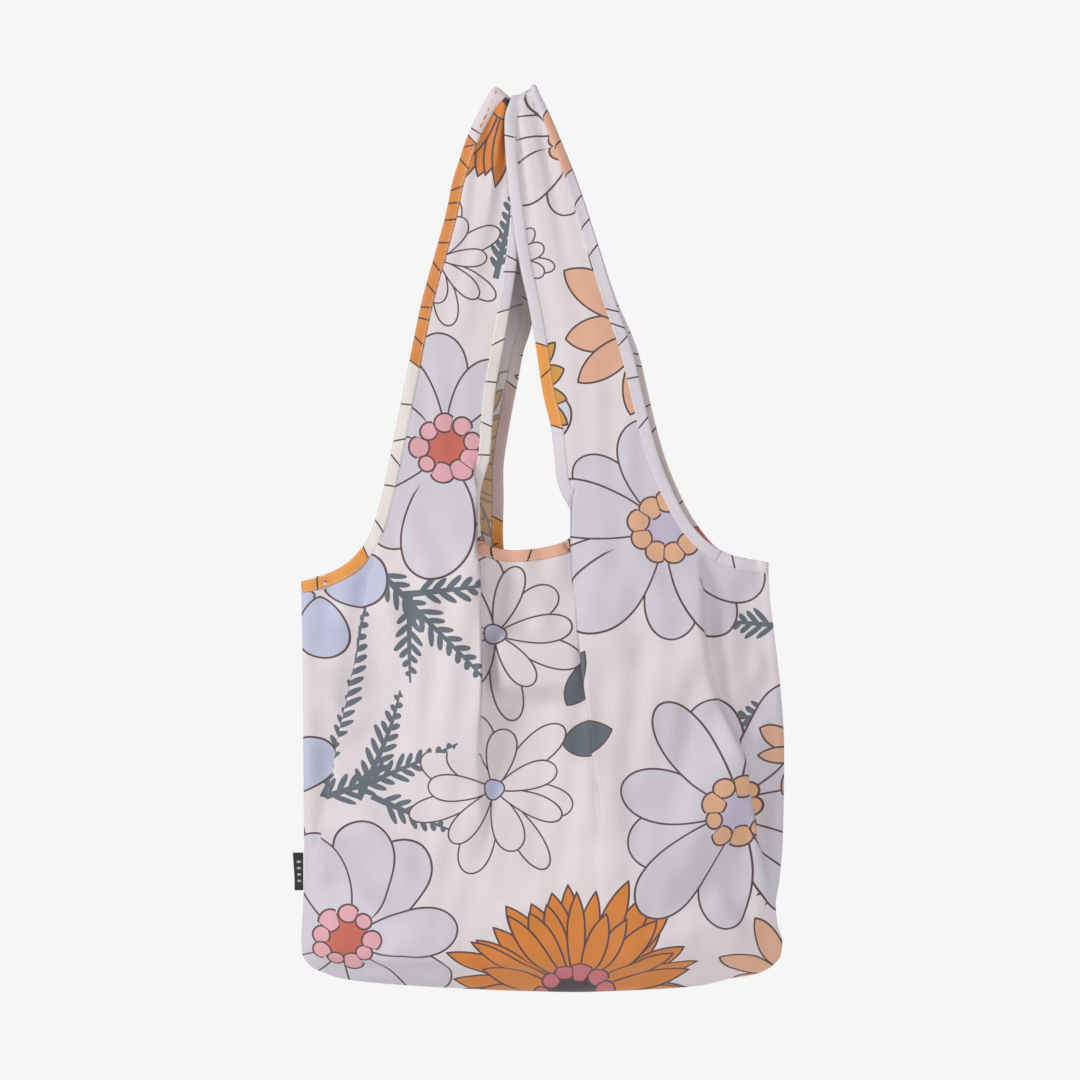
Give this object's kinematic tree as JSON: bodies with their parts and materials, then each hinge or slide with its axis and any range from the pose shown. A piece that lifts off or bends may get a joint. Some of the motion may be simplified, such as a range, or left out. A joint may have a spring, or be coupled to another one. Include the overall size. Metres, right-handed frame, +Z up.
{
  "type": "foldable tote bag",
  "caption": "Thin printed ripstop shopper with a vest-shaped outline, bound edges, looped carrying handles, a side label and an inner stow pouch closed by a snap flap.",
  "frame": {"origin": "middle of the bounding box's floor, under the lowest point of the hanging body", "axes": "+Z up along the hanging bag, +X to the right seen from the front, the front panel faces -Y; the shared turn of the handles runs along X"},
  "size_m": [0.4059, 0.0804, 0.7461],
  "materials": {
    "printed_ripstop": "matte",
    "printed_binding": "matte",
    "seam_tape": "matte",
    "woven_label": "satin",
    "snap_resin": "gloss"
  },
  "bodies": {
    "bag": {"front_panel": "printed_ripstop", "back_panel": "printed_ripstop", "front_neck_binding": "printed_binding", "back_neck_binding": "printed_binding", "left_armhole_binding": "printed_binding", "right_armhole_binding": "printed_binding", "body_seam_tape": "seam_tape"},
    "left_handle": {"left_front_strap": "printed_ripstop", "left_back_strap": "printed_ripstop", "left_handle_outer_binding": "printed_binding", "left_handle_inner_binding": "printed_binding", "left_handle_crest_tape": "seam_tape"},
    "right_handle": {"right_front_strap": "printed_ripstop", "right_back_strap": "printed_ripstop", "right_handle_outer_binding": "printed_binding", "right_handle_inner_binding": "printed_binding", "right_handle_crest_tape": "seam_tape"},
    "side_label": {"woven_side_label": "woven_label"},
    "stow_pouch": {"pouch_back_ply": "printed_ripstop", "pouch_front_ply": "printed_ripstop", "pouch_mouth_binding": "printed_binding", "pouch_hang_tape": "seam_tape", "snap_stud": "snap_resin", "snap_post": "snap_resin"},
    "stow_flap": {"pouch_flap": "printed_ripstop", "snap_cap": "snap_resin", "snap_socket": "snap_resin"}
  },
  "joints": [
    {"name": "left_handle_fold", "type": "hinge", "parent": "bag", "child": "left_handle", "pos_m": [0, 0, 0.384], "axis": [1, 0, 0], "range_deg": [-90, 90]},
    {"name": "right_handle_fold", "type": "hinge", "parent": "bag", "child": "right_handle", "pos_m": [0, 0, 0.384], "axis": [1, 0, 0], "range_deg": [-90, 90]},
    {"name": "label_bend", "type": "hinge", "parent": "bag", "child": "side_label", "pos_m": [-0.1963, 0, 0.0995], "axis": [0, 0, 1], "range_deg": [-70, 70]},
    {"name": "pouch_swing", "type": "hinge", "parent": "bag", "child": "stow_pouch", "pos_m": [0.004, 0.0158, 0.352], "axis": [1, 0, 0], "range_deg": [-6, 4]},
    {"name": "flap_lift", "type": "hinge", "parent": "stow_pouch", "child": "stow_flap", "pos_m": [0.004, 0.0148, 0.3036], "axis": [1, 0, 0], "range_deg": [-40, 0]}
  ],
  "couplings": [
    {"joint": "right_handle_fold", "follows": "left_handle_fold", "ratio": 1}
  ]
}
